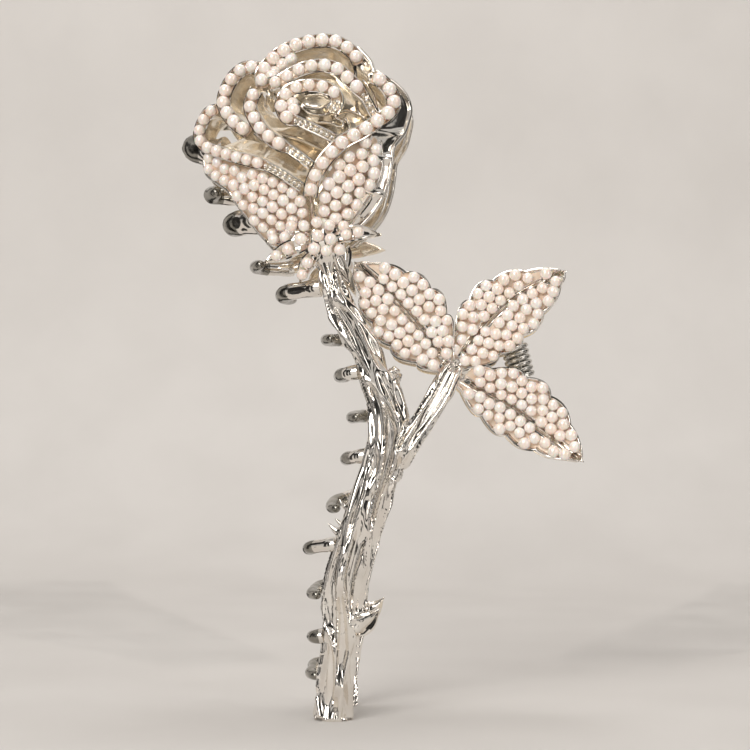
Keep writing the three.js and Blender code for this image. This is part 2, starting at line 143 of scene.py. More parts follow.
# Petal rims. `inward` is +1 where the rose's heart lies to the left of the line. `pearls` is the
# share of the line that pearls fill; small cast beads fill the rest. `skirt` is how far the petal's
# inner face runs in and down from the rim, `second_row` is a further row of pearls (its share of
# the line and its offset), and the face stays narrow up to `curl`.
RIMS = {
    "petal_top_back": {
        "line": [
            [-10.4, 14.6], [-10.6, 17.4], [-7.6, 20.9], [-3, 22.9], [2.2, 23.2], [5.6, 21.2], [6.9, 19],
        ],
        "radius": 1.2, "inward": -1, "pearls": [0, 1], "skirt": [2.6, 5.5], "lift": -0.4,
        "second_row": [0.02, 0.42, 1.9],
    },
    "petal_top_front": {
        "line": [
            [-9.2, 14.8], [-7.2, 15.3], [-4.4, 17], [-1.8, 17.9], [0.6, 18.1], [3.1, 17.4], [5.2, 15.5],
            [7.7, 12.8], [9.9, 9],
        ],
        "radius": 1.16, "inward": -1, "pearls": [0, 0.8], "skirt": [2.4, 6], "lift": -0.2,
    },
    "petal_heart": {
        "line": [
            [2.4, 9.2], [3.3, 11.2], [2.4, 13], [0.1, 14], [-2.6, 14.1], [-5.4, 13.2], [-6.8, 10.8],
            [-5.8, 8.2], [-3.6, 7.3], [-0.4, 5.8], [2.9, 4.2],
        ],
        "radius": 1.14, "inward": 1, "pearls": [0.1, 0.7], "skirt": [1.4, 5], "lift": -0.1,
        "second_row": [0.46, 0.7, 1.9],
    },
    "petal_left_inner": {
        "line": [
            [-11.6, 13.9], [-12.4, 12.2], [-12.5, 10.1], [-10.6, 6.4], [-8.8, 4.6], [-6.7, 3.1],
            [-4.4, 1.7], [-1.2, -0.7],
        ],
        "radius": 1.2, "inward": 1, "pearls": [0, 0.7], "skirt": [3.4, 5], "lift": 0,
    },
    "petal_left_middle": {
        "line": [
            [-11.6, 18.3], [-13.8, 18.7], [-16, 17.3], [-17.5, 14.9], [-18, 12.3], [-17, 9.9],
            [-15.2, 7.7], [-12.9, 6],
        ],
        "radius": 1.2, "inward": 1, "pearls": [0, 1], "skirt": [1.7, 5], "lift": -0.2,
    },
    "petal_left_outer": {
        "line": [
            [-19.4, 11], [-20.9, 10.7], [-22.3, 8.6], [-22.7, 6.2], [-21.2, 4.2], [-17.8, 2.6],
            [-13.9, 1.1], [-9.9, -0.3], [-6.4, -2.2], [-3, -4.5],
        ],
        "radius": 1.05, "inward": 1, "pearls": [0, 0.72], "skirt": [3.4, 5], "lift": 0, "curl": 0.36,
    },
    "petal_right": {
        "line": [
            [9.6, 16.3], [11.1, 15.5], [12.7, 13.6], [13.3, 11.5], [12.2, 9.3], [9.9, 7.3], [7.4, 5.4],
            [5, 4], [3.2, 2.4], [1.3, 0.3], [0, -1.7], [-1, -3.7], [-1.5, -6.2],
        ],
        "radius": 1.24, "inward": -1, "pearls": [0, 1], "skirt": [0.8, 5], "lift": 0.2,
    },
}
RIM_LIP = 0.15
NARROW_RIM = {"half": 0.78, "lead": 0.03, "over": 0.08}
BEAD_RADIUS = 0.45

# Right-hand outer petal: a polished face between the right rim and a lobed edge.
RIGHT_OUTER_EDGE = [
    [6.6, 22.6], [8.8, 20], [9.9, 17.5], [12.8, 16.3], [15.2, 14.1], [16.2, 11.4], [15.8, 8.8],
    [15, 6.4], [13.2, 3.6], [12.8, 0.8], [12.2, -2.6], [10.9, -6.2], [8.4, -9.6], [5.4, -12.2],
]
RIGHT_OUTER_ROOT = [
    [5, 20.4], [6.6, 18.6], [8.6, 16.6], [10.8, 14.6], [12, 13.2], [12.4, 11.4], [11.6, 9.2],
    [10.2, 6.9], [8.8, 4], [8.4, 1.2], [8, -2.2], [7, -5.4], [5.2, -8.4], [3.6, -11.4],
]
RIGHT_OUTER_FOLDS = [0.2, 0.49, 0.62, 0.78]

BASE_PETALS = {
    "petal_base_left": {
        "outer": [
            [-22, 2.4], [-21.4, -0.4], [-19.2, -2.3], [-17, -4], [-15.2, -6.6], [-13.4, -9],
            [-11.6, -11.4], [-9.4, -13.6], [-7, -14.6],
        ],
        "inner": [
            [-21.4, 3.6], [-18.6, 2], [-14.6, 0.2], [-10.6, -1.4], [-6.6, -3.2], [-3.4, -5.2],
            [-2.2, -7.6], [-2, -10.4], [-3, -13.4],
        ],
        "radius": 1.02,
    },
    "petal_base_right": {
        "outer": [
            [10.8, 4.6], [11.2, 1.4], [10.6, -2.2], [9, -5.6], [6.8, -8.6], [4.4, -11.6], [2.6, -13.2],
        ],
        "inner": [
            [8.8, 5.2], [6.2, 3.4], [3.6, 0.8], [1.6, -2.2], [0.4, -5.4], [-0.4, -9], [-0.6, -12.4],
        ],
        "radius": 1.12,
    },
}
BASE_PETAL_DROP = 1.9

# Folds of the innermost petals, thin walls inside the heart; the last stands between the base petals.
HEART_FOLDS = [
    [[-4.2, 11.9], [-2.4, 10.3], [0, 9.9], [2.2, 10.9]],
    [[-3.6, 10.4], [-1.8, 9], [0.4, 8.6], [2.4, 9.2]],
    [[-0.2, 7.3], [1.8, 7.1], [3.8, 6.4], [4.2, 7.4], [2.8, 8.4], [4.9, 9.5], [8, 8.5]],
    [[4.8, 8], [5.4, 6.6], [4.9, 4.9]],
    [[6.6, 11.4], [6.9, 9.6], [8.6, 7.4]],
    [[-2.6, 12.3], [0, 12.5], [2, 11.6]],
    [[-6.6, 5.2], [-3, 4], [0.8, 2.2]],
    [[0.8, 5.2], [2, 3.2], [4, 2.4]],
    [[7.6, 15.6], [9.4, 13.2], [10.2, 10.4]],
    [[-1.6, -5.4], [-1.3, -8.4], [-1.5, -11.4]],
]
HEART_FLOOR = ([[-7, 12], [-3, 15.6], [3, 15.6], [8.6, 11.2]],
               [[-5.4, 7.6], [-2.4, 6.4], [2.4, 4.8], [8.2, 6.8]])

# Calyx under the flower: a ridged cup and leaf-shaped sepals, with their pearls.
CALYX_LINE = [
    [-17.6, 27, 13, 3.2], [-17.4, 25, 13, 3.7], [-17, 23, 12.8, 3.2], [-16.6, 21, 12.4, 2.1],
    [-16.3, 19.4, 12.2, 1.7],
]
SEPALS = [
    {"line": [[-15.4, 25.2, 14.2], [-11.4, 26.3, 14.6], [-6.9, 26, 13.4]],
     "width": 1.5, "pearls": [0.27, 0.52]},
    {"line": [[-19.6, 24.6, 14.2], [-23.4, 23.5, 13.6], [-28.2, 21.2, 11.2]],
     "width": 1.6, "pearls": [0.44, 0.7]},
    {"line": [[-18.2, 23, 14.2], [-20.4, 20.6, 13.6], [-21.6, 17.6, 12.2]],
     "width": 1.4, "pearls": [0.42, 0.78]},
    {"line": [[-20.8, 26.6, 13.2], [-24.4, 25.7, 12.6], [-28, 25.2, 11.4]],
     "width": 1.3, "pearls": [0.48, 0.78]},
    {"line": [[-15.6, 23.8, 13.8], [-14, 20.6, 13.2], [-12.6, 16.8, 12.4]],
     "width": 1, "pearls": []},
]
CALYX_PEARLS = [
    [-21.3, 25.2], [-18.9, 23.4], [-18.2, 25.7], [-15.9, 25.1], [-14.3, 23.2], [-16.7, 23], [-20.7, 27.5],
    [-18.4, 28.1], [-16.1, 27.6], [-13.6, 27.4], [-23, 27.6],
]
CALYX_PEARL_RADIUS = 1.1
CUP_RIDGES = {"count": 9, "height": 0.07}

# ---- hinge ----
JOINT = frame["joints"][0]
HINGE_AT = np.array(JOINT["pos_m"]) / MM
HINGE_AXIS = np.array(JOINT["axis"])
HINGE_ACROSS = np.cross([0.0, 1.0, 0.0], HINGE_AXIS)
PIN = {"radius": 0.8, "half_length": 7.6, "head": 1.5, "head_height": 0.7}
LUG = {"radius": 2.4, "neck": 1.7, "back": 3.9, "front": 5.6, "thickness": 1.4, "clearance": 0.3,
       "bevel": 0.2, "chamfer": 0.12}
SPRING = {"wire": 0.45, "coil": 2.1, "turns": 6, "pitch": 1.05, "leg": 6.5, "lift": 0.9, "across": 0.6,
          "slant": 0.75}

# ---- studio: the floor in millimetres, and lights, cards and camera in metres and degrees ----
STAGE = {"back": 420.0, "bend": 160.0, "near": -900.0, "tall": 900.0, "half_width": 1000.0}
# place, width, height, power, colour
LIGHTS = {
    "key": [(-0.45, -1.12, 0.67), 0.88, 0.88, 13.2, (1.0, 0.98, 0.95)],
    "fill": [(0.9, -0.75, 0.22), 0.22, 0.9, 2.0, (1.0, 0.95, 0.9)],
    "top": [(0.05, 0.1, 0.75), 0.5, 0.3, 1.8, (1.0, 0.98, 0.96)],
}
# Brightness of the surroundings from straight below (0) to straight above (1).
SKY = [(0.0, 0.52), (0.2, 0.5), (0.3, 0.05), (0.52, 0.04), (0.66, 0.6), (1.0, 0.4)]
SKY_TINT = (1.0, 0.965, 0.93)
CARD = {"foot": 0.09, "radius": 0.5, "tall": 0.5, "over_floor": 0.002}
CAMERA = {"azimuth": 2, "elevation": -2, "distance": 0.33, "field": 23.1, "target": (-0.0081, -0.012, 0.0009)}
# Azimuth and half angle of each dark card; 0 is in front of the claw.
FLAGS = [(-45, 7), (-5, 8), (25, 6), (-68, 9), (74, 8), (-104, 10), (108, 10), (-150, 9), (152, 9)]


# ---- materials ----
def add_grain(material, scale, detail):
    """Noise that stays with the piece. Returns its output."""
    nodes = material.node_tree.nodes
    place = nodes.new("ShaderNodeTexCoord")
    grain = nodes.new("ShaderNodeTexNoise")
    grain.inputs["Scale"].default_value = scale
    grain.inputs["Detail"].default_value = detail
    material.node_tree.links.new(place.outputs["Object"], grain.inputs["Vector"])
    return grain.outputs["Fac"]


def new_material(name, color, roughness, metallic, bump=None):
    """Colour and roughness are a noise scale and two ends; `bump` is a scale, distance and strength."""
    material = bpy.data.materials.new(name)
    material.use_nodes = True
    nodes, links = material.node_tree.nodes, material.node_tree.links
    shader = nodes["Principled BSDF"]
    shader.inputs["Metallic"].default_value = metallic
    for socket, (scale, *ends) in (("Base Color", color), ("Roughness", roughness)):
        ramp = nodes.new("ShaderNodeValToRGB")
        for element, position, value in zip(ramp.color_ramp.elements, (0.36, 0.66), ends):
            element.position = position
            element.color = (*value, 1.0) if isinstance(value, tuple) else (value, value, value, 1.0)
        links.new(add_grain(material, scale, 3.0), ramp.inputs["Fac"])
        links.new(ramp.outputs["Color"], shader.inputs[socket])
    if bump:
        scale, distance, strength = bump
        relief = nodes.new("ShaderNodeBump")
        relief.inputs["Distance"].default_value = distance
        relief.inputs["Strength"].default_value = strength
        links.new(add_grain(material, scale, 2.0), relief.inputs["Height"])
        links.new(relief.outputs["Normal"], shader.inputs["Normal"])
    return material


METALS = [
    # the plating of the castings
    new_material("champagne_plating", (220.0, (0.86, 0.81, 0.75), (0.91, 0.88, 0.83)),
                 (500.0, 0.05, 0.13), 1.0, (500.0, 0.0002, 0.25)),
    # inside and under the petals: the plating with a painted warm reflection
    new_material("painted_warm_reflection_plating", (260.0, (0.99, 0.88, 0.71), (0.99, 0.93, 0.83)),
                 (600.0, 0.1, 0.22), 0.8, (500.0, 0.0002, 0.25)),
    # the ground the pearls are glued to, tinted peach as a painted glow of light from the pearls
    new_material("pearl_bed_painted_glow", (400.0, (0.88, 0.68, 0.52), (0.95, 0.82, 0.68)),
                 (700.0, 0.3, 0.5), 0.3, (1200.0, 0.0002, 0.5)),
    # a painted dark reflection on the ends of the teeth
    new_material("painted_dark_reflection", (350.0, (0.24, 0.23, 0.20), (0.40, 0.38, 0.34)),
                 (600.0, 0.12, 0.26), 1.0, (600.0, 0.0002, 0.3)),
]
STEEL = [new_material("spring_steel", (300.0, (0.66, 0.64, 0.60), (0.80, 0.77, 0.72)),
                      (900.0, 0.2, 0.34), 1.0, (1500.0, 0.0001, 0.3))]


def pearl_material():
    """A pink cream body under a clear coat that reflects strongly."""
    material = new_material("pearl_lacquer", (330.0, (0.95, 0.80, 0.70), (0.98, 0.90, 0.84)),
                            (800.0, 0.2, 0.3), 0.0, (2400.0, 0.00005, 0.15))
    sockets = material.node_tree.nodes["Principled BSDF"].inputs
    sockets["Subsurface Weight"].default_value = 0.35
    sockets["Subsurface Radius"].default_value = (1.0, 0.6, 0.4)
    sockets["Subsurface Scale"].default_value = 0.0007
    sockets["Specular IOR Level"].default_value = 0.8
    sockets["Coat Weight"].default_value = 1.0
    sockets["Coat IOR"].default_value = 2.4
    sockets["Coat Roughness"].default_value = 0.11
    return material


PEARLS = [pearl_material()]


# ---- mesh helpers ----
def new_object(name, data):
    """A new object, in the scene."""
    made = bpy.data.objects.new(name, data)
    bpy.context.scene.collection.objects.link(made)
    return made


def circle(count):
    """Angles of evenly spaced points round a circle."""
    return np.arange(count) / count * 2 * math.pi


def travelled(points):
    """How far along a line each of its points is."""
    return np.concatenate([[0], np.cumsum(np.linalg.norm(np.diff(points[:, :3], axis=0), axis=1))])


def spline(rows, count):
    """`count` evenly spaced points of the smooth curve through the rows, with every column."""
    rows = np.asarray(rows, float)
    padded = np.vstack([2 * rows[0] - rows[1], rows, 2 * rows[-1] - rows[-2]])
    t = np.linspace(0, 1, 24, endpoint=False)[:, None]
    spans = []
    for a, b, c, d in zip(padded, padded[1:], padded[2:], padded[3:]):
        cubic = 2 * a - 5 * b + 4 * c - d + t * (3 * (b - c) + d - a)
        spans.append(b + 0.5 * t * (c - a + t * cubic))
    dense = np.vstack([*spans, rows[-1:]])
    length = travelled(dense)
    wanted = np.linspace(0, length[-1], count)
    return np.column_stack([np.interp(wanted, length, column) for column in dense.T])


def line_length(line):
    """Length of the smooth curve through a line's points."""
    return travelled(spline(line, 200))[-1]


def unit(vectors):
    """The same directions, one long."""
    return vectors / np.linalg.norm(vectors, axis=-1, keepdims=True)


def frames_along(centre, reference=OUT):
    """Tangent, left and out directions at each point of a line."""
    tangent = unit(np.gradient(centre, axis=0))
    left = unit(np.cross(reference, tangent))
    return tangent, left, np.cross(tangent, left)


def sweep(centre, sections, reference=OUT):
    """Rings of [left, out] section points carried along a line of jaw points."""
    _, left, out = frames_along(centre, reference)
    sections = np.asarray(sections, float)
    return (centre[:, None, :] + left[:, None, :] * sections[:, :, :1] + out[:, None, :] * sections[:, :, 1:])


def ring_faces(count, size, closed=False):
    """The quads between rings of points; `closed` joins the last ring to the first."""
    faces = []
    for i in range(count if closed else count - 1):
        for j in range(size):
            k, n = (j + 1) % size, (i + 1) % count
            faces.append((i * size + j, i * size + k, n * size + k, n * size + j))
    return faces


def skin(rings, tones=None):
    """A closed part skinned over the rings, with a face at each end. `tones` has one entry a column."""
    rings = np.asarray(rings, float)
    count, size = rings.shape[:2]
    faces = ring_faces(count, size)
    faces.append(tuple(range(size))[::-1])
    faces.append(tuple((count - 1) * size + j for j in range(size)))
    paint = (tones or [SILVER] * size) * (count - 1)
    return outward(rings.reshape(-1, 3), faces, [*paint, SILVER, SILVER])


def bare_ends(part, columns, begin, end, metal):
    """Shows bare metal instead of the pearl bed outside the rows from `begin` to `end`."""
    points, faces, paint = part
    bare = [tone == BED and not begin <= k // columns < end for k, tone in enumerate(paint)]
    return points, faces, [metal if swap else tone for swap, tone in zip(bare, paint)]


def outward(points, faces, paint):
    """The same part with its faces turned outwards, in jaw coordinates."""
    volume = 0.0
    for face in faces:
        a = points[face[0]]
        for b, c in zip(face[1:-1], face[2:]):
            volume += np.dot(a, np.cross(points[b], points[c]))
    if volume < 0:
        faces = [face[::-1] for face in faces]
    return points, faces, paint


def oval(half_width, outer, inner, sides):
    """Section points of an oval that is fuller on the outside than on the inside."""
    angle = circle(sides)
    bulge = np.where(np.sin(angle) > 0, outer, inner)
    return np.column_stack([half_width * np.cos(angle), half_width * bulge * np.sin(angle)])


def rod(rows, widths, outer, inner, sides, reference=OUT):
    """An oval rod of varying half width along a line of jaw points."""
    return skin(sweep(rows[:, :3], [oval(width, outer, inner, sides) for width in widths], reference))


def mesh_of(name, parts, side):
    """One mesh from the parts. Jaw points [x, z, height] become [x, side * height, z] in metres."""
    mesh = bpy.data.meshes.new(name)
    points, faces, paint, start = [], [], [], 0
    for part_points, part_faces, part_paint in parts:
        points.append(part_points)
        faces.extend(tuple(start + v for v in face) for face in part_faces)
        paint.extend(part_paint)
        start += len(part_points)
    points = np.vstack(points)
    place = np.column_stack([points[:, 0], side * points[:, 2], points[:, 1]]) * MM
    if side > 0:  # swapping z and height mirrors a part; the front jaw's minus sign mirrors it back
        faces = [face[::-1] for face in faces]
    mesh.from_pydata(place.tolist(), [], faces)
    mesh.polygons.foreach_set("material_index", paint)
    mesh.polygons.foreach_set("use_smooth", [True] * len(faces))
    return mesh


def add_piece(name, parts, side, body, materials, stands_for=()):
    """Adds one named piece that rides on a CAD body and stands for the named CAD nodes."""
    mesh = mesh_of(name, parts, side)
    for material in materials:
        mesh.materials.append(material)
    mesh.set_sharp_from_angle(angle=CREASE)
    piece = new_object(name, mesh)
    if body:
        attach(piece, body)
    if stands_for:
        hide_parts(*stands_for)
    return piece


def fuse(parts):
    """Melts overlapping parts into one skin, as a casting has. Returns its points, normals and faces."""
    source = new_object("fuse_source", mesh_of("fuse_source", parts, 1))
    remesh = source.modifiers.new("fuse", "REMESH")
    remesh.mode = "VOXEL"
    remesh.voxel_size = FUSE["voxel"] * MM
    smooth = source.modifiers.new("soften", "SMOOTH")
    smooth.factor = 0.5
    smooth.iterations = FUSE["rounds"]
    mesh = bpy.data.meshes.new_from_object(source.evaluated_get(bpy.context.evaluated_depsgraph_get()))
    place = np.array([v.co for v in mesh.vertices]) / MM
    normal = np.array([v.normal for v in mesh.vertices])
    faces = [tuple(p.vertices)[::-1] for p in mesh.polygons]
    bpy.data.objects.remove(source)
    swap = [0, 2, 1]
    return place[:, swap], normal[:, swap], faces


# ---- pearls ----
PEARL_FLAT = 0.9
FIELD_SWELL = 1.05  # pearls in a field press against each other
# A field starts as a hexagonal grid and is eased apart; pitch, apart and least are in pearl radii.
PACK = {"pitch": 1.97, "row": 0.866, "start": 0.45, "rounds": 60, "ease": 0.35, "apart": 2.04, "least": 1.72}


def ball(columns, rows):
    """A unit pearl: a globe with a small flat where it is glued down."""
    turn = circle(columns)
    rings = []
    for i in range(1, rows):
        polar = math.pi * i / rows
        height = np.full(columns, max(math.cos(polar), -PEARL_FLAT))
        wide = math.sin(polar)
        rings.append(np.column_stack([wide * np.cos(turn), wide * np.sin(turn), height]))
    points = np.vstack([[[0.0, 0.0, 1.0]], *rings, [[0.0, 0.0, -PEARL_FLAT]]])
    last = len(points) - 1
    faces = [(0, 1 + j, 1 + (j + 1) % columns) for j in range(columns)]
    for i in range(rows - 2):
        for j in range(columns):
            a, b = 1 + i * columns + j, 1 + i * columns + (j + 1) % columns
            faces.append((a, a + columns, b + columns, b))
    low = last - columns
    faces += [(last, low + (j + 1) % columns, low + j) for j in range(columns)]
    return points, faces


PEARL_BALL = ball(18, 11)
BEAD_BALL = ball(10, 7)


def pearls(centres, radii, shape=PEARL_BALL):
    """One part holding a ball at each jaw point."""
    points, faces = shape
    placed = [points * radius + centre for centre, radius in zip(centres, radii)]
    all_faces = [tuple(v + k * len(points) for v in face) for k in range(len(placed)) for face in faces]
    return np.vstack(placed), all_faces, [SILVER] * len(all_faces)


def vary(radius, index):
    """Pearls differ a little in size."""
    return radius * (1 + 0.05 * math.sin(index * 12.9898 + 1.7))


def outline_reach(points, outline):
    """Distance from each point to a closed outline, below zero outside, and the way back inside."""
    start, end = outline, np.roll(outline, -1, axis=0)
    span = end - start
    share = ((points[:, None] - start) * span).sum(2) / (span * span).sum(1)
    nearest = start + span * np.clip(share, 0, 1)[..., None]
    away = points[:, None] - nearest
    distance = np.linalg.norm(away, axis=2)
    pick = distance.argmin(1)
    rows = np.arange(len(points))
    above = (start[:, 1] > points[:, None, 1]) != (end[:, 1] > points[:, None, 1])
    slope = np.where(span[:, 1] == 0, 1e-9, span[:, 1])
    crossing = start[:, 0] + span[:, 0] * (points[:, None, 1] - start[:, 1]) / slope
    inside = (above & (points[:, None, 0] < crossing)).sum(1) % 2 == 1
    sign = np.where(inside, 1.0, -1.0)
    return distance[rows, pick] * sign, away[rows, pick] * sign[:, None]


def pack(outline, radius, margin, tilt):
    """Pearl places that fill an outline: a hexagonal grid, eased apart and held inside the edge."""
    low, high = outline.min(0), outline.max(0)
    pitch = PACK["pitch"] * radius
    middle, reach = (low + high) / 2, np.linalg.norm(high - low) / 2 + pitch
    steps = int(reach / pitch) + 1
    grid = [[(i + 0.5 * (j % 2)) * pitch, j * pitch * PACK["row"]] for j in range(-steps - 4, steps + 5)
            for i in range(-steps, steps + 1)]
    turn = np.array([[math.cos(tilt), -math.sin(tilt)], [math.sin(tilt), math.cos(tilt)]])
    places = np.array(grid) @ turn.T + middle
    places = places[outline_reach(places, outline)[0] > margin * PACK["start"]]
    for _ in range(PACK["rounds"]):
        gap = places[:, None] - places
        distance = np.linalg.norm(gap, axis=2) + np.eye(len(places)) * 99
        push = np.clip(PACK["apart"] * radius - distance, 0, None) / distance
        places = places + PACK["ease"] * (gap * push[..., None]).sum(1)
        inside, back = outline_reach(places, outline)
        short = np.clip(margin - inside, 0, None)
        places = places + unit(back + 1e-9) * short[:, None]
    kept = []
    for place in places:
        if all(np.linalg.norm(place - other) > PACK["least"] * radius for other in kept):
            kept.append(place)
    return np.array(kept)


# ---- stem, branch and thorns ----
FUSE = {"voxel": 0.2, "rounds": 6}
# Noise scales, twist per millimetre, depths, and how far from the stem's middle the relief fades.
BARK = {"across": 0.55, "along": 0.055, "twist": 0.03, "wander": 0.5, "wander_along": 0.11,
        "depth": 1.2, "ridge": 0.45, "hollow": 2.8, "fine": 0.24, "fine_across": 3.1, "fine_along": 0.1,
        "full": 3.1, "none": 4.4}
PETIOLE_SHARES = np.array([0.06, 0.14])


def tube(line, steps, outer, inner, sides=20):
    """A rod whose half width is the line's fourth column."""
    rows = spline(line, steps)
    return rod(rows, rows[:, 3], outer, inner, sides)


def spike(line, radius, tip):
    """A thorn that narrows from its root to a rounded point."""
    rows = spline(line, 10)
    width = tip + (radius - tip) * (1 - np.linspace(0, 1, len(rows))) ** 1.3
    return rod(rows, width, 0.85, 0.85, 14)


def bark(points, normals, centre):
    """Long twisting ridges with pointed hollows between them, laid along the centre lines."""
    tangent, left, out = frames_along(centre)
    length = travelled(centre)
    moved = points.copy()
    for i, point in enumerate(points):
        k = int(((centre - point) ** 2).sum(1).argmin())
        away = point - centre[k]
        along = length[k] + away @ tangent[k]
        turn = BARK["twist"] * along
        u, v = away @ left[k], away @ out[k]
        across = (u * math.cos(turn) - v * math.sin(turn)) * BARK["across"]
        around = (u * math.sin(turn) + v * math.cos(turn)) * BARK["across"]
        wander = noise.noise(Vector((across, around, along * BARK["wander_along"]))) * BARK["wander"]
        near = noise.voronoi(Vector((across + wander, around, along * BARK["along"])))[0]
        hollow = min(1.0, (near[1] - near[0]) * BARK["hollow"])
        relief = BARK["depth"] * (BARK["ridge"] - hollow * hollow * (3 - 2 * hollow))
        fine_scale = BARK["fine_across"]
        fine = noise.noise(Vector((across * fine_scale, around * fine_scale, along * BARK["fine_along"])))
        fade = min(1.0, max(0.0, (BARK["none"] - np.linalg.norm(away)) / (BARK["none"] - BARK["full"])))
        moved[i] = point + normals[i] * (fade * (relief + BARK["fine"] * fine))
    return moved


def relax(points, faces, rounds):
    """Evens out small crumbs: each point moves half way to the middle of its neighbours."""
    links = np.array([(face[k], face[k - 1]) for face in faces for k in range(len(face))])
    count = np.bincount(links[:, 0], minlength=len(points))[:, None]
    for _ in range(rounds):
        total = np.zeros_like(points)
        np.add.at(total, links[:, 0], points[links[:, 1]])
        points = (points + total / count) / 2
    return points


def stem_part():
    """Stem, side branch, thorns and the fork that carries the leaves, cast in one."""
    parts = [
        tube(STEM_LINE, 90, STEM_OUTER, STEM_INNER),
        tube(BRANCH_LINE, 30, 0.8, 0.7),
        *(spike(**thorn) for thorn in THORNS),
    ]
    for leaf in LEAVES.values():
        near, far = leaf_midrib(leaf, PETIOLE_SHARES)
        parts.append(tube([[*FORK[:2], FORK[2] + 0.5, 1.5], [*near, 1.2], [*far, 0.8]], 8, 0.8, 0.8, 14))
    points, normals, faces = fuse(parts)
    centre = np.vstack([spline(STEM_LINE, 200)[:, :3], spline(BRANCH_LINE, 60)[:, :3]])
    moved = relax(bark(points, normals, centre), faces, 3)
    return outward(moved, faces, [SILVER] * len(faces))


# ---- leaves ----
def leaf_plane(leaf):
    """The way from the fork to a leaf's tip, and the unit direction to its left."""
    along = np.array(leaf["tip"]) - FORK[:2]
    return along, np.array([-along[1], along[0]]) / np.linalg.norm(along)


def leaf_height(leaf, share):
    """Height of the midrib: a bow through the leaf's three heights."""
    low, middle, high = leaf["heights"]
    control = 2 * middle - (low + high) / 2
    return (1 - share) ** 2 * low + 2 * share * (1 - share) * control + share ** 2 * high


def leaf_midrib(leaf, share):
    """Jaw points of the midrib at shares of its length."""
    along, to_left = leaf_plane(leaf)
    flat = FORK[:2] + along * share[:, None] + to_left * (leaf["bow"] * np.sin(math.pi * share))[:, None]
    return np.column_stack([flat, leaf_height(leaf, share)])


def leaf_width(leaf, share, on_left):
    """Half width with lobes that swell towards the tip and then step in."""
    full = leaf["left"] if on_left else leaf["right"]
    swell = np.sin(math.pi * np.clip(share, 0.004, 0.985) ** 0.95) ** 0.8
    place = (share * LEAF_LOBES + (0.0 if on_left else 0.45)) % 1.0
    lobe = np.sin(math.pi * place ** 1.5) ** 0.55
    return full * swell * (0.88 + 0.16 * lobe)


def leaf_relief(offset, width):
    """Height of a leaf half over its midrib line: vein groove, swelling face and raised rim."""
    share = np.clip(offset / np.maximum(width, 0.3), 0, 1)
    groove = -LEAF_VEIN["depth"] * np.exp(-(offset / LEAF_VEIN["width"]) ** 2)
    ridge = LEAF_VEIN["ridge"] * np.exp(-((offset - LEAF_VEIN["ridge_at"]) / LEAF_VEIN["ridge_width"]) ** 2)
    rim = LEAF_RIM["height"] / (1 + np.exp((width - offset - LEAF_RIM["inset"]) / LEAF_RIM["edge"]))
    return (groove + ridge + LEAF_SWELL * np.sin(share * math.pi * 0.8) + rim) * np.clip(width / 1.8, 0, 1)


def leaf_part(leaf):
    """A leaf with a lobed rim. Its columns run close together at the vein and at the rim."""
    share = np.linspace(0.03, 1.0, 150)
    midrib = leaf_midrib(leaf, share)
    to_left = leaf_plane(leaf)[1]
    vein = np.array([0.0, 0.14, 0.3, 0.5, 0.8])
    inset = np.array([0.8, 0.68, 0.56, 0.42, 0.22, 0.06, 0.0])
    face_columns = 6
    rings = []
    for s, (x, z, height) in zip(share, midrib):
        top = []
        for sign, on_left in ((1, True), (-1, False)):
            width = max(float(leaf_width(leaf, s, on_left)) * min(1.0, 25 * (1.004 - s)), 0.12)
            face = np.linspace(1.1, max(width - 0.95, 1.15), face_columns)
            offsets = np.clip(np.concatenate([vein, face, width - inset]), 0, width)
            offsets.sort()
            relief = leaf_relief(offsets, width)
            relief[-1] -= 0.22
            row = [[*((x, z) + to_left * sign * o), height + h] for o, h in zip(offsets, relief)]
            top.append(row if sign < 0 else row[:0:-1])
        upper = np.array(top[0] + top[1])
        lower = upper[::-1].copy()
        lower[:, 2] = height + 0.35 * (lower[:, 2] - height) - LEAF_THICKNESS * min(1.0, 12 * (1.03 - s))
        rings.append(np.vstack([upper, lower]))
    rim_at = len(vein) + face_columns
    half_row = rim_at + len(inset)
    # The face under the pearls is the ground with a painted glow of pearl light.
    tones = [BED if len(vein) <= abs(j) < rim_at else SILVER for j in range(1 - half_row, half_row)]
    # The leaf's underside carries the painted warm reflection.
    leaf_skin = skin(rings, tones + [WARM_REFLECTION] * len(tones))
    return bare_ends(leaf_skin, 2 * len(tones), 0.06 * len(share), 0.9 * len(share), SILVER)


def leaf_pearls(leaf):
    """Pearls over both halves of a leaf, up to its raised rim and clear of the vein."""
    along, to_left = leaf_plane(leaf)
    reach = np.linalg.norm(along)
    share = np.linspace(0.08, 0.93, 60)
    centres, radii = [], []
    for sign, on_left in ((1, True), (-1, False)):
        edge = np.column_stack([share * reach, leaf_width(leaf, share, on_left) - 0.3])
        vein = np.column_stack([share[::-1] * reach, np.full(len(share), 0.17)])
        places = pack(np.vstack([edge, vein]), LEAF_PEARL, LEAF_PEARL * 0.88, 0.12 * sign)
        for along_at, offset in places:
            s = np.array([along_at / reach])
            x, z, height = leaf_midrib(leaf, s)[0]
            size = vary(LEAF_PEARL * FIELD_SWELL, len(centres))
            top = float(leaf_relief(offset, float(leaf_width(leaf, s[0], on_left))))
            centres.append([*((x, z) + to_left * sign * offset), height + min(top, 0.75) + 0.66 * size])
            radii.append(size)
    return pearls(centres, radii)


# ---- petals ----
def dome(flat):
    """Height of the petal rims at flower points."""
    flat = np.asarray(flat, float)
    across = flat[..., 0] / np.where(flat[..., 0] < 0, DOME["left"], DOME["right"])
    along = flat[..., 1] / np.where(flat[..., 1] < 0, DOME["down"], DOME["up"])
    return DOME["height"] - DOME["drop"] * (across ** 2 + along ** 2)


def on_flower(flat, lift=0.0):
    """Jaw points for flower points, `lift` over the dome."""
    flat = np.asarray(flat, float)
    return np.column_stack([flat + FLOWER, dome(flat) + lift])


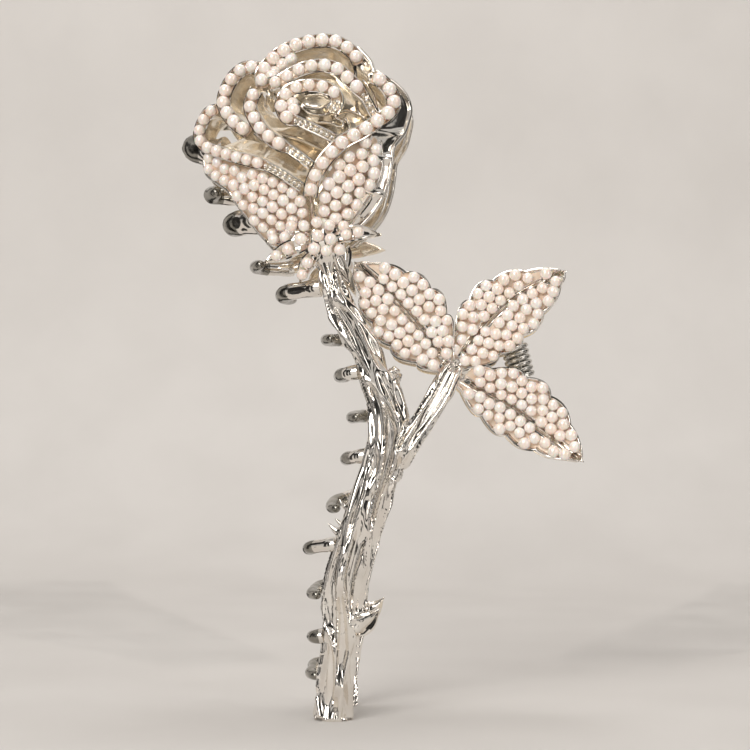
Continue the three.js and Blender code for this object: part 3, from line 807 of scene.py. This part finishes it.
def rim_section(half, inward, skirt_in, skirt_down):
    """A pearl channel between two lips, with the petal's inner face running down from one lip."""
    lip = [[-half - 0.08, -1.1], [-half - 0.16, -0.4], [-half - 0.1, 0.1], [-half + 0.05, RIM_LIP],
           [-half + 0.2, RIM_LIP - 0.1], [-half + 0.3, -0.2]]
    channel = [[-half * 0.5, -0.5], [0.0, -0.6], [half * 0.5, -0.5]]
    far_lip = [[-u, v] for u, v in lip[:0:-1]]
    fall = np.linspace(0.12, 1.0, 8)
    step = 0.22 * np.exp(-((fall - 0.42) / 0.08) ** 2)
    face = np.column_stack([half + 0.14 + skirt_in * fall ** 1.4, -0.4 - skirt_down * fall ** 0.9 + step])
    inside = face[::-1] - [0.62, 0.12]
    under = [[half * 0.2, -1.55], [-half * 0.6, -1.5]]
    section = np.array([*lip, *channel, *far_lip, *face, *inside, *under])
    first, last = len(lip) + len(channel) + len(far_lip) - 1, len(section)
    section[:, 0] *= inward
    # The pearl channel is the ground with a painted glow of pearl light.
    tones = [SILVER] * len(lip) + [BED] * len(channel) + [SILVER] * len(section)
    # The petal's inner face carries the painted warm reflection.
    tones[first:last] = [WARM_REFLECTION] * (last - first)
    return section, tones[:last]


def rim_half_width(rim, share):
    """The channel holds the pearls and narrows along the cast beads."""
    wide, end = rim["radius"] - 0.02, rim["pearls"][1]
    if end >= 1.0:
        return wide
    past = np.clip((share - end + NARROW_RIM["lead"]) / NARROW_RIM["over"], 0, 1)
    return wide + (NARROW_RIM["half"] - wide) * past


def rim_part(rim):
    """A petal's rim. Its inner face narrows towards both ends of the line."""
    steps = max(60, int(line_length(rim["line"]) * 3.2))
    centre = on_flower(spline(rim["line"], steps), rim["lift"])
    skirt_in, skirt_down = rim["skirt"]
    sections = []
    for share in np.arange(steps) / (steps - 1):
        narrow = 0.3
        fade = narrow if share < rim.get("curl", 0.0) else min(1.0, narrow + 6 * min(share, 1 - share))
        section, tones = rim_section(rim_half_width(rim, share), rim["inward"], skirt_in * fade, skirt_down)
        sections.append(section)
    begin, end = rim["pearls"]
    # Along the cast beads the channel shows the painted warm reflection.
    return bare_ends(skin(sweep(centre, sections), tones), len(tones), begin * steps, end * steps, WARM_REFLECTION)


def rim_balls(rim):
    """Centres and radii of the pearls, and centres of the cast beads, on one rim."""
    length = line_length(rim["line"])
    fine = on_flower(spline(rim["line"], 600), rim["lift"])
    last_step = len(fine) - 1
    begin, end = rim["pearls"]
    radius = rim["radius"]
    count = int(length * (end - begin) / (1.93 * radius))
    pearl_share = begin + (end - begin) * (np.arange(count) + 0.5) / count
    radii = [vary(radius, k + count) for k in range(count)]
    centres = [fine[int(s * last_step)] + [0, 0, -0.4 + 0.82 * r] for s, r in zip(pearl_share, radii)]
    if "second_row" in rim:
        first, last, offset = rim["second_row"]
        left = frames_along(fine)[1]
        extra = int(length * (last - first) / (2.0 * radius))
        for k in range(extra):
            place = int((first + (last - first) * (k + 0.5) / extra) * last_step)
            radii.append(vary(radius * 0.97, k))
            centres.append(fine[place] + left[place] * rim["inward"] * offset + [0, 0, -0.6 + 0.6 * radius])
    bead_share = []
    for first, last in ((0.0, begin), (end, 1.0)):
        beads = int(length * (last - first) / (2.25 * BEAD_RADIUS))
        bead_share += [first + (last - first) * (k + 0.5) / beads for k in range(beads)]
    beads = [fine[int(s * last_step)] + [0, 0, -0.3] for s in bead_share]
    return centres, radii, beads


def sheet(edge, root, edge_lift, root_lift, thickness, relief=None, top_tone=SILVER):
    """A petal face between two lines of flower points, with a rounded lip along its edge."""
    steps, across = 160, 14
    outer, inner = spline(edge, steps), spline(root, steps)
    share = np.linspace(0, 1, across)
    rings = []
    for i in range(steps):
        flat = outer[i] + (inner[i] - outer[i]) * share[:, None]
        lift = edge_lift + (root_lift - edge_lift) * share
        if relief:
            lift = lift + relief(i / (steps - 1), share)
        top = on_flower(flat, lift)
        below = top[::-1].copy()
        below[:, 2] -= thickness
        below[-1, 2] += thickness * 0.4
        rings.append(np.vstack([top, below]))
    # The underside carries the painted warm reflection.
    return skin(rings, [top_tone] * across + [WARM_REFLECTION] * across)


def lip_along(line, lift, radius):
    """A rounded bead of metal along a petal's free edge."""
    return rod(on_flower(spline(line, 120), lift), [radius] * 120, 1.2, 1.2, 10)


def right_outer_parts():
    """The polished outer petal, with sharp folds across it and a second lip behind the first."""
    def ruffle(along, share):
        near = min(abs(along - fold) for fold in RIGHT_OUTER_FOLDS)
        crest = math.exp(-(near / 0.018) ** 2)
        return (0.9 * crest - 0.9 * np.sin(share * math.pi)) * (1 - 0.4 * share)

    return [
        sheet(RIGHT_OUTER_EDGE, RIGHT_OUTER_ROOT, -2.6, -1.2, 0.9, ruffle),
        lip_along(RIGHT_OUTER_EDGE, -2.5, 0.42),
        lip_along([[x - 0.9, z - 0.4] for x, z in RIGHT_OUTER_EDGE], -4.8, 0.36),
    ]


def base_petal_parts(petal):
    """A swelling lower petal with a lip along its outer edge."""
    def swell(_, share):
        return 0.9 * np.sin(share * math.pi)

    return [
        # The top under the pearls is the ground with a painted glow of pearl light.
        sheet(petal["outer"], petal["inner"], -BASE_PETAL_DROP - 1.0, -BASE_PETAL_DROP, 1.1, swell, BED),
        lip_along(petal["outer"], -BASE_PETAL_DROP - 0.8, 0.38),
    ]


def base_petal_pearls(petal):
    outline = np.vstack([spline(petal["outer"], 50), spline(petal["inner"], 50)[::-1]])
    radius = petal["radius"]
    places = pack(outline, radius, radius * 0.8, 0.5)
    edge = outline_reach(places, outline)[0]
    radii = [vary(radius * FIELD_SWELL, k) for k in range(len(places))]
    lift = [-BASE_PETAL_DROP + 0.25 + 0.2 * min(float(e), 2.0) + 0.5 * r for e, r in zip(edge, radii)]
    return pearls(on_flower(places, np.array(lift)), radii)


def fold_part(line):
    """A thin standing fold of an inner petal: faces with a painted warm reflection under a silver edge."""
    flat = spline(line, 40)
    centre = on_flower(flat, -0.9)
    section = [[-0.9, -5.0], [-0.42, -2.4], [-0.26, -0.5], [-0.3, 0.0], [0.0, 0.3], [0.3, 0.0], [0.26, -0.5],
               [0.3, -2.4], [0.1, -5.0]]
    tones = [WARM_REFLECTION, WARM_REFLECTION, SILVER, SILVER, SILVER, SILVER, WARM_REFLECTION, WARM_REFLECTION, WARM_REFLECTION]
    return skin(sweep(centre, [section] * len(centre)), tones)


# ---- calyx ----
def sepal_part(sepal):
    """A hollowed pointed leaf with raised edges."""
    rows = spline(sepal["line"], 40)
    share = np.linspace(0, 1, len(rows))
    half = sepal["width"] * np.clip(np.sin(math.pi * (0.18 + 0.8 * share)), 0.04, 1)
    top = [[-1, -0.2], [-0.98, 0.2], [-0.8, 0.3], [-0.55, 0.0], [0, -0.25]]
    outline = np.array([*top, *([-u, v] for u, v in top[-2::-1]), [0.6, -0.7], [0, -1.0], [-0.6, -0.7]])
    # The sepal's underside carries the painted warm reflection.
    return skin(sweep(rows, [outline * [w, 1] for w in half]), [SILVER] * 8 + [WARM_REFLECTION] * 4)


def calyx_parts():
    """The ridged cup and its sepals."""
    rows = spline(CALYX_LINE, 40)
    sides = 36
    ridge = 1 + CUP_RIDGES["height"] * np.cos(circle(sides) * CUP_RIDGES["count"])
    cup = skin(sweep(rows[:, :3], [oval(w, 0.5, 0.45, sides) * ridge[:, None] for w in rows[:, 3]]))
    return [cup, *(sepal_part(sepal) for sepal in SEPALS)]


def calyx_pearls():
    """Pearls heaped over the cup, and a pair on most sepals."""
    centres, radii = [], []
    for k, (x, z) in enumerate(CALYX_PEARLS):
        centres.append([x, z, 15.2 - 0.03 * (x + 17.2) ** 2 + 0.05 * (z - 24.0)])
        radii.append(vary(CALYX_PEARL_RADIUS, k))
    for sepal in SEPALS:
        rows = spline(sepal["line"], 101)
        for share in sepal["pearls"]:
            size = vary(1.0, len(radii))
            centres.append(rows[int(share * 100)] + [0, 0, 0.62 * size])
            radii.append(size)
    return pearls(centres, radii)


# ---- teeth ----
def tooth_part(root, bulge, height, bend=TOOTH["bend"]):
    """A round tooth that flares out of the casting, swings past its edge and curls over."""
    (root_x, root_z), (x, z), sides = root, bulge, TOOTH["sides"]
    line = [[root_x + 1.6, root_z + 0.2, height + 0.5], [root_x, root_z, height],
            [x + 0.5, (root_z + z) / 2, height * 0.65], [x + 0.2, z, 1.4], [x + 1.4, z, -TOOTH["reach"]]]
    rows = spline(line, 46)
    share = np.linspace(0, 1, len(rows))
    radius = bend + (TOOTH["tip"] - bend) * share ** 4
    radius += (TOOTH["root"] - TOOTH["bend"]) * np.exp(-share / 0.12)
    end = np.clip((1 - share) * 18, 0, 1)
    radius *= np.sqrt(1 - (1 - end) ** 2 * 0.96)
    wave = 1 + 0.03 * np.sin(share * 23)
    points, faces, _ = rod(rows, radius * wave, 0.94, 0.94, sides, np.array([0.0, 1.0, 0.0]))
    # Past the bulge the tooth takes the painted dark reflection.
    past = np.maximum.accumulate(rows[:-1, 0] < x + TOOTH["dark"])
    return points, faces, [PAINTED_DARK_REFLECTION if dark else SILVER for dark in np.repeat(past, sides)] + [SILVER, PAINTED_DARK_REFLECTION]


# ---- hinge parts ----
def hinge_points(local):
    """World-order [x, z, y] points for hinge points [across, y, along the axis]."""
    local = np.asarray(local, float)
    world = (HINGE_AT + local[..., :1] * HINGE_ACROSS + local[..., 1:2] * np.array([0.0, 1.0, 0.0])
             + local[..., 2:] * HINGE_AXIS)
    return world[..., [0, 2, 1]]


def lug_part(start, root):
    """A plate with a round eye for the pin, rooted in the leaf, with softened edges."""
    turns, thick, bevel, chamfer = 48, LUG["thickness"], LUG["bevel"], LUG["chamfer"]
    angle = circle(turns)
    eye = np.column_stack([np.cos(angle), np.sin(angle)])
    outer = eye * LUG["radius"]
    low = outer[:, 1] < 0
    widest = LUG["neck"] + 0.7 + outer[low, 1] * 0.1
    outer[low, 0] = np.sign(outer[low, 0]) * np.minimum(np.abs(outer[low, 0]), widest)
    outer[low, 1] = outer[low, 1] / LUG["radius"] * root
    hole = eye * (PIN["radius"] + LUG["clearance"])
    loops = []
    for shape, grow, depth in ((outer, -bevel, 0.0), (outer, 0.0, bevel), (outer, 0.0, thick - bevel),
                               (outer, -bevel, thick), (hole, chamfer, thick), (hole, 0.0, thick - 0.15),
                               (hole, 0.0, 0.15), (hole, chamfer, 0.0)):
        ring = shape + unit(shape) * grow
        loops.append(np.column_stack([ring[:, 0], -ring[:, 1], np.full(turns, start + depth)]))
    faces = ring_faces(len(loops), turns, closed=True)
    return outward(hinge_points(np.array(loops)).reshape(-1, 3), faces, [SILVER] * len(faces))


def pin_part():
    """The hinge pin with a domed rivet head at each end."""
    half, head, tall, radius = PIN["half_length"], PIN["head"], PIN["head_height"], PIN["radius"]
    cap = [[head * math.cos(a), half + 0.15 + (tall - 0.15) * math.sin(a)]
           for a in np.linspace(0, math.pi / 2, 7)]
    profile = [[radius, 0.0], [radius, half - 0.05], [radius + 0.08, half], [head * 0.96, half], *cap[:-1],
               [0.05, half + tall]]
    mirrored = [[r, -h] for r, h in profile[:0:-1]]
    angle = circle(28)
    rings = [hinge_points(np.column_stack([r * np.cos(angle), r * np.sin(angle), np.full(len(angle), h)]))
             for r, h in [*mirrored, *profile]]
    return skin(rings)


def spring_part():
    """The torsion spring: a coil round the pin and two legs that press the thumb leaves apart."""
    turns, coil = SPRING["turns"], SPRING["coil"]
    around = np.linspace(0, 2 * math.pi * turns, turns * 32)
    angle = around - math.pi / 2
    rise = (around / around[-1] - 0.5) * turns * SPRING["pitch"]
    body = np.column_stack([coil * np.cos(angle), coil * np.sin(angle), rise])
    leg = np.linspace(1, 0, 12, endpoint=False)
    across, lift = leg * SPRING["leg"] * SPRING["across"], SPRING["lift"] * leg
    slant = leg ** 1.5 * SPRING["leg"] * SPRING["slant"]
    first = np.column_stack([across, -coil - lift, rise[0] - slant])
    last = np.column_stack([across, coil + lift, rise[-1] + slant])[::-1]
    centre = hinge_points(np.vstack([first, body, last]))
    return rod(centre, [SPRING["wire"]] * len(centre), 1, 1, 10, HINGE_AXIS[[0, 2, 1]])


# ---- assembly ----
def build_shared():
    """Parts that are the same in both jaws, made once."""
    return {
        "stem": [stem_part(), sepal_part(CUP_THORN)],
        "calyx": calyx_parts(),
        "leaves": {name: (leaf_part(leaf), leaf_pearls(leaf)) for name, leaf in LEAVES.items()},
        "rims": {name: (rim_part(rim), rim_balls(rim)) for name, rim in RIMS.items()},
        "bases": {name: (base_petal_parts(p), base_petal_pearls(p)) for name, p in BASE_PETALS.items()},
    }


def lug_for(side, name):
    """A thumb leaf's lug. The front jaw's lugs stand outside the back jaw's on the pin."""
    start = LUG["front"] if side < 0 else LUG["back"]
    at = start if name == "upper" else -start - LUG["thickness"]
    return lug_part(at, LEAVES[name]["heights"][1] - 0.2)


def build_jaw(jaw, side, shared):
    """One jaw's pieces, each on the jaw's body."""
    body = f"{jaw}_jaw"

    def metal(name, parts, *nodes):
        return add_piece(f"{jaw}_{name}_cast", parts, side, body, METALS,
                         [f"{jaw}_{node}" for node in nodes])

    def set_pearls(name, part, *nodes):
        return add_piece(f"{jaw}_{name}_set", [part], side, body, PEARLS,
                         [f"{jaw}_{node}" for node in nodes])

    metal("stem", shared["stem"], "stem", "branch")
    metal("calyx", shared["calyx"], "calyx")
    set_pearls("pearls_calyx", calyx_pearls())
    for name, (leaf, beads) in shared["leaves"].items():
        parts = [leaf] if name == "left" else [leaf, lug_for(side, name)]
        metal(f"leaf_{name}", parts, f"leaf_{name}")
        set_pearls(f"pearls_leaf_{name}", beads, f"pearls_leaf_{name}")
    for name, (rim, (centres, radii, beads)) in shared["rims"].items():
        parts = [rim]
        if beads:
            parts.append(pearls(beads, [BEAD_RADIUS] * len(beads), BEAD_BALL))
        metal(name, parts, name)
        set_pearls(f"pearls_{name}", pearls(centres, radii))
    metal("petal_right_outer", right_outer_parts(), "petal_right_outer")
    # The heart's floor carries the painted warm reflection.
    floor = sheet(*HEART_FLOOR, -2.8, -3.8, 0.8, top_tone=WARM_REFLECTION)
    metal("heart_folds", [floor, *(fold_part(line) for line in HEART_FOLDS)])
    for name, (parts, beads) in shared["bases"].items():
        metal(name, parts, name)
        set_pearls(f"pearls_{name}", beads, f"pearls_{name}")
    for i, tooth in enumerate(TEETH[jaw]):
        metal(f"tooth_{i + 1}", [tooth_part(*tooth)], f"tooth_{i + 1}")


def build_hinge():
    """The pin rides on the back jaw; the spring rides on no body."""
    add_piece("hinge_pin_riveted", [pin_part()], 1, "back_jaw", STEEL, ["hinge_pin"])
    spring = add_piece("torsion_spring_wire", [spring_part()], 1, None, STEEL,
                       ["torsion_spring"])
    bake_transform(spring)


# ---- stage, lights and camera ----
def build_stage():
    """A pale floor that curves up into a backdrop."""
    floor = CAD_BOX[0].z / MM
    back, radius, half = STAGE["back"], STAGE["bend"], STAGE["half_width"]
    bend = [[back - radius + radius * math.sin(a), floor + radius - radius * math.cos(a)]
            for a in np.linspace(0, math.pi / 2, 16)]
    profile = [[STAGE["near"], floor], *bend, [back, floor + STAGE["tall"]]]
    points = [[x, y, z] for y, z in profile for x in (-half, half)]
    faces = [(2 * i, 2 * i + 1, 2 * i + 3, 2 * i + 2) for i in range(len(profile) - 1)]
    mesh = bpy.data.meshes.new("backdrop")
    mesh.from_pydata((np.array(points) * MM).tolist(), [], faces)
    mesh.polygons.foreach_set("use_smooth", [True] * len(faces))
    mesh.materials.append(new_material("pale_paper", (30.0, (0.62, 0.595, 0.57), (0.65, 0.625, 0.60)),
                                       (60.0, 0.7, 0.85), 0.0))
    new_object("backdrop", mesh)


def add_softbox(name, place, width, height, power, color):
    """A rectangular light that faces the middle of the claw."""
    data = bpy.data.lights.new(name, "AREA")
    data.shape = "RECTANGLE"
    data.size, data.size_y = width, height
    data.energy, data.color = power, color
    lamp = new_object(name, data)
    lamp.location = place
    middle = (CAD_BOX[0] + CAD_BOX[1]) / 2
    lamp.rotation_euler = (middle - Vector(place)).to_track_quat("-Z", "Y").to_euler()


def build_lights():
    """The softboxes, and surroundings whose brightness depends on the height looked at."""
    for name, settings in LIGHTS.items():
        add_softbox(name, *settings)
    world = bpy.data.worlds.new("studio")
    world.use_nodes = True
    nodes, links = world.node_tree.nodes, world.node_tree.links
    place = nodes.new("ShaderNodeTexCoord")
    split = nodes.new("ShaderNodeSeparateXYZ")
    ramp = nodes.new("ShaderNodeValToRGB")
    for _ in SKY[2:]:
        ramp.color_ramp.elements.new(0.5)
    for element, (height, light) in zip(ramp.color_ramp.elements, SKY):
        element.position = height
        element.color = (*(light * tint for tint in SKY_TINT), 1.0)
    links.new(place.outputs["Generated"], split.inputs["Vector"])
    links.new(split.outputs["Z"], ramp.inputs["Fac"])
    links.new(ramp.outputs["Color"], nodes["Background"].inputs["Color"])
    bpy.context.scene.world = world


def build_flags():
    """Dark cards round the claw. Only the polished metal sees them, as dark lines along its curves."""
    black = bpy.data.materials.new("flag_black")
    black.use_nodes = True
    sockets = black.node_tree.nodes["Principled BSDF"].inputs
    sockets["Base Color"].default_value = (0.015, 0.014, 0.013, 1.0)
    sockets["Roughness"].default_value = 0.9
    floor = CAD_BOX[0].z + CARD["over_floor"]
    for azimuth, half in FLAGS:
        corners = []
        for turn in (azimuth - half, azimuth + half):
            x, y = math.sin(math.radians(turn)), -math.cos(math.radians(turn))
            for reach, height in ((CARD["foot"], 0.0), (CARD["radius"], 0.0), (CARD["radius"], CARD["tall"])):
                corners.append((x * reach, y * reach, floor + height))
        mesh = bpy.data.meshes.new("flag")
        mesh.from_pydata(corners, [], [(0, 3, 4, 1), (1, 4, 5, 2)])
        mesh.materials.append(black)
        flag = new_object("flag", mesh)
        flag.visible_camera = flag.visible_diffuse = flag.visible_shadow = False


def build_camera():
    """The photograph's view: level with the claw, slightly from the right and from below."""
    data = bpy.data.cameras.new("camera")
    data.lens = 18.0 / math.tan(math.radians(CAMERA["field"] / 2))
    camera = new_object("camera", data)
    azimuth, elevation = math.radians(CAMERA["azimuth"]), math.radians(CAMERA["elevation"])
    back = Vector((math.sin(azimuth) * math.cos(elevation), -math.cos(azimuth) * math.cos(elevation),
                   math.sin(elevation)))
    camera.location = Vector(CAMERA["target"]) + back * CAMERA["distance"]
    camera.rotation_euler = (-back).to_track_quat("-Z", "Y").to_euler()
    bpy.context.scene.camera = camera


shared_parts = build_shared()
for jaw_name, jaw_side in JAWS.items():
    build_jaw(jaw_name, jaw_side, shared_parts)
build_hinge()
build_stage()
build_lights()
build_flags()
build_camera()
bpy.context.scene.view_settings.view_transform = "Standard"

bpy.context.view_layer.update()
